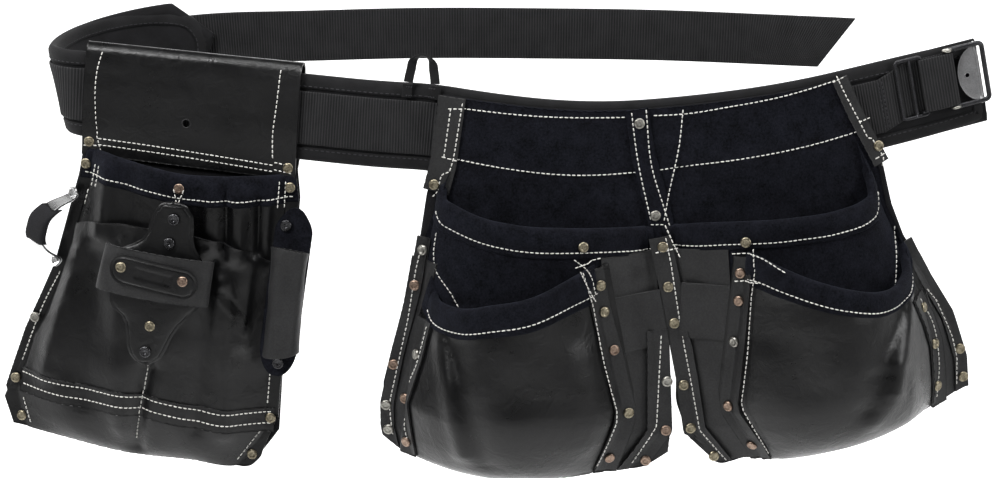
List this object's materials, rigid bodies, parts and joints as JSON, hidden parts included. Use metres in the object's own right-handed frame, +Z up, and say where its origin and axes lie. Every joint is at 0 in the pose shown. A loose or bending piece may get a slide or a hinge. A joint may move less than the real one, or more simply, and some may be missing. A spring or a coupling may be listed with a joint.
{
  "type": "tool belt",
  "caption": "Padded webbing belt with riveted leather and suede nail bags, a sliding side tool pouch with holder and pencil tube, slider and buckle.",
  "frame": {"origin": "centre of the padded belt's thickness and height at the middle of the front, between the two nail bags", "axes": "+Z up as worn, +X along the belt front towards the buckle, -Y outward, away from the wearer"},
  "size_m": [0.9308, 0.324, 0.4182],
  "materials": {
    "padded_fabric": "matte nylon weave",
    "webbing": "ribbed nylon webbing",
    "smooth_leather": "black, soft sheen",
    "suede": "navy suede, matte",
    "rivet_metal": "aged, low sheen",
    "snap_metal": "dark, satin",
    "dark_steel": "gunmetal, satin",
    "plate_steel": "grey, satin",
    "bright_steel": "bright"
  },
  "bodies": {
    "belt_mid": {"pad_mid": "padded_fabric", "webbing_mid": "webbing", "brace_loop_feet": "webbing", "centre_strap": "smooth_leather", "left_bag_back": "smooth_leather", "left_bag_face": "suede", "left_end_tab": "smooth_leather", "left_upper_pocket": "suede", "left_upper_rim": "suede", "left_lower_pocket": "smooth_leather", "left_lower_rim": "suede", "left_side_strips": "smooth_leather", "left_inner_strip": "smooth_leather", "left_centre_strip": "smooth_leather", "left_patch": "smooth_leather", "left_bag_rivets": "rivet_metal"},
    "belt_right": {"pad_right": "padded_fabric", "webbing_right": "webbing", "right_bag_back": "smooth_leather", "right_bag_face": "suede", "right_end_tab": "smooth_leather", "right_upper_pocket": "suede", "right_upper_rim": "suede", "right_lower_pocket": "smooth_leather", "right_lower_rim": "suede", "right_side_strips": "smooth_leather", "right_inner_strip": "smooth_leather", "right_centre_strip": "smooth_leather", "right_patch": "smooth_leather", "right_bag_rivets": "rivet_metal"},
    "belt_end": {"pad_end": "padded_fabric", "webbing_end": "webbing"},
    "slider": {"slider": "dark_steel"},
    "buckle": {"buckle_frame": "dark_steel", "buckle_pin": "plate_steel"},
    "buckle_plate": {"buckle_plate": "plate_steel"},
    "brace_loop": {"brace_loop": "webbing"},
    "belt_left": {"pad_left": "padded_fabric", "webbing_left": "webbing"},
    "belt_back": {"pad_back": "padded_fabric", "webbing_back": "webbing"},
    "strap_1": {"strap_1": "webbing"},
    "strap_2": {"strap_2": "webbing"},
    "left_pouch": {"pouch_tunnel": "smooth_leather", "pouch_back": "smooth_leather", "pouch_front": "smooth_leather", "pouch_rim": "suede", "pouch_outer_pocket": "smooth_leather", "pouch_bottom_band": "smooth_leather", "holder_plate": "smooth_leather", "holder_band": "smooth_leather", "holder_badge": "smooth_leather", "hammer_loop": "bright_steel", "hammer_sleeve": "smooth_leather", "pencil_tongue": "suede", "pencil_tube": "smooth_leather", "pouch_rivets": "rivet_metal", "pouch_snaps": "snap_metal"}
  },
  "joints": [
    {"name": "front_bend", "type": "hinge", "parent": "belt_mid", "child": "belt_right", "pos_m": [0, 0, 0], "axis": [-0.0785, 0, 0.9969], "range_deg": [-12, 20]},
    {"name": "end_bend", "type": "hinge", "parent": "belt_right", "child": "belt_end", "pos_m": [0.20797, 0.02297, 0.03016], "axis": [-0.195, -0.0416, 0.9799], "range_deg": [-12, 20]},
    {"name": "slider_slide", "type": "slide", "parent": "belt_end", "child": "slider", "axis": [0.9542, 0.2231, 0.1994], "range_m": [-0.01, 0.006]},
    {"name": "buckle_swing", "type": "hinge", "parent": "belt_end", "child": "buckle", "pos_m": [0.27904, 0.02967, 0.05471], "axis": [0.1931, 0.0496, -0.9799], "range_deg": [0, 60]},
    {"name": "plate_hinge", "type": "hinge", "parent": "buckle", "child": "buckle_plate", "pos_m": [0.30372, 0.03602, 0.0599], "axis": [-0.1931, -0.0496, 0.9799], "range_deg": [0, 70]},
    {"name": "brace_loop_flop", "type": "hinge", "parent": "belt_mid", "child": "brace_loop", "pos_m": [-0.21173, 0.00549, 0.05359], "axis": [0.9898, -0.1299, -0.0582], "range_deg": [-10, 50]},
    {"name": "left_bend", "type": "hinge", "parent": "belt_mid", "child": "belt_left", "pos_m": [-0.23832, 0.017, 0.01358], "axis": [-0.0375, 0.0056, -0.9993], "range_deg": [-20, 0]},
    {"name": "pouch_slide", "type": "slide", "parent": "belt_left", "child": "left_pouch", "axis": [0.9822, -0.1732, -0.0732], "range_m": [0, 0.036]},
    {"name": "back_bend", "type": "hinge", "parent": "belt_left", "child": "belt_back", "pos_m": [-0.55276, 0.09575, 0.03837], "axis": [0.225, 0.1187, -0.9671], "range_deg": [-40, 0]},
    {"name": "strap_bend_1", "type": "hinge", "parent": "belt_back", "child": "strap_1", "pos_m": [-0.3678, 0.21843, 0.06629], "axis": [0.0341, -0.0033, -0.9994], "range_deg": [-60, 0]},
    {"name": "strap_bend_2", "type": "hinge", "parent": "strap_1", "child": "strap_2", "pos_m": [-0.05354, 0.2153, 0.06934], "axis": [-0.0175, 0, -0.9998], "range_deg": [-60, 4]}
  ]
}
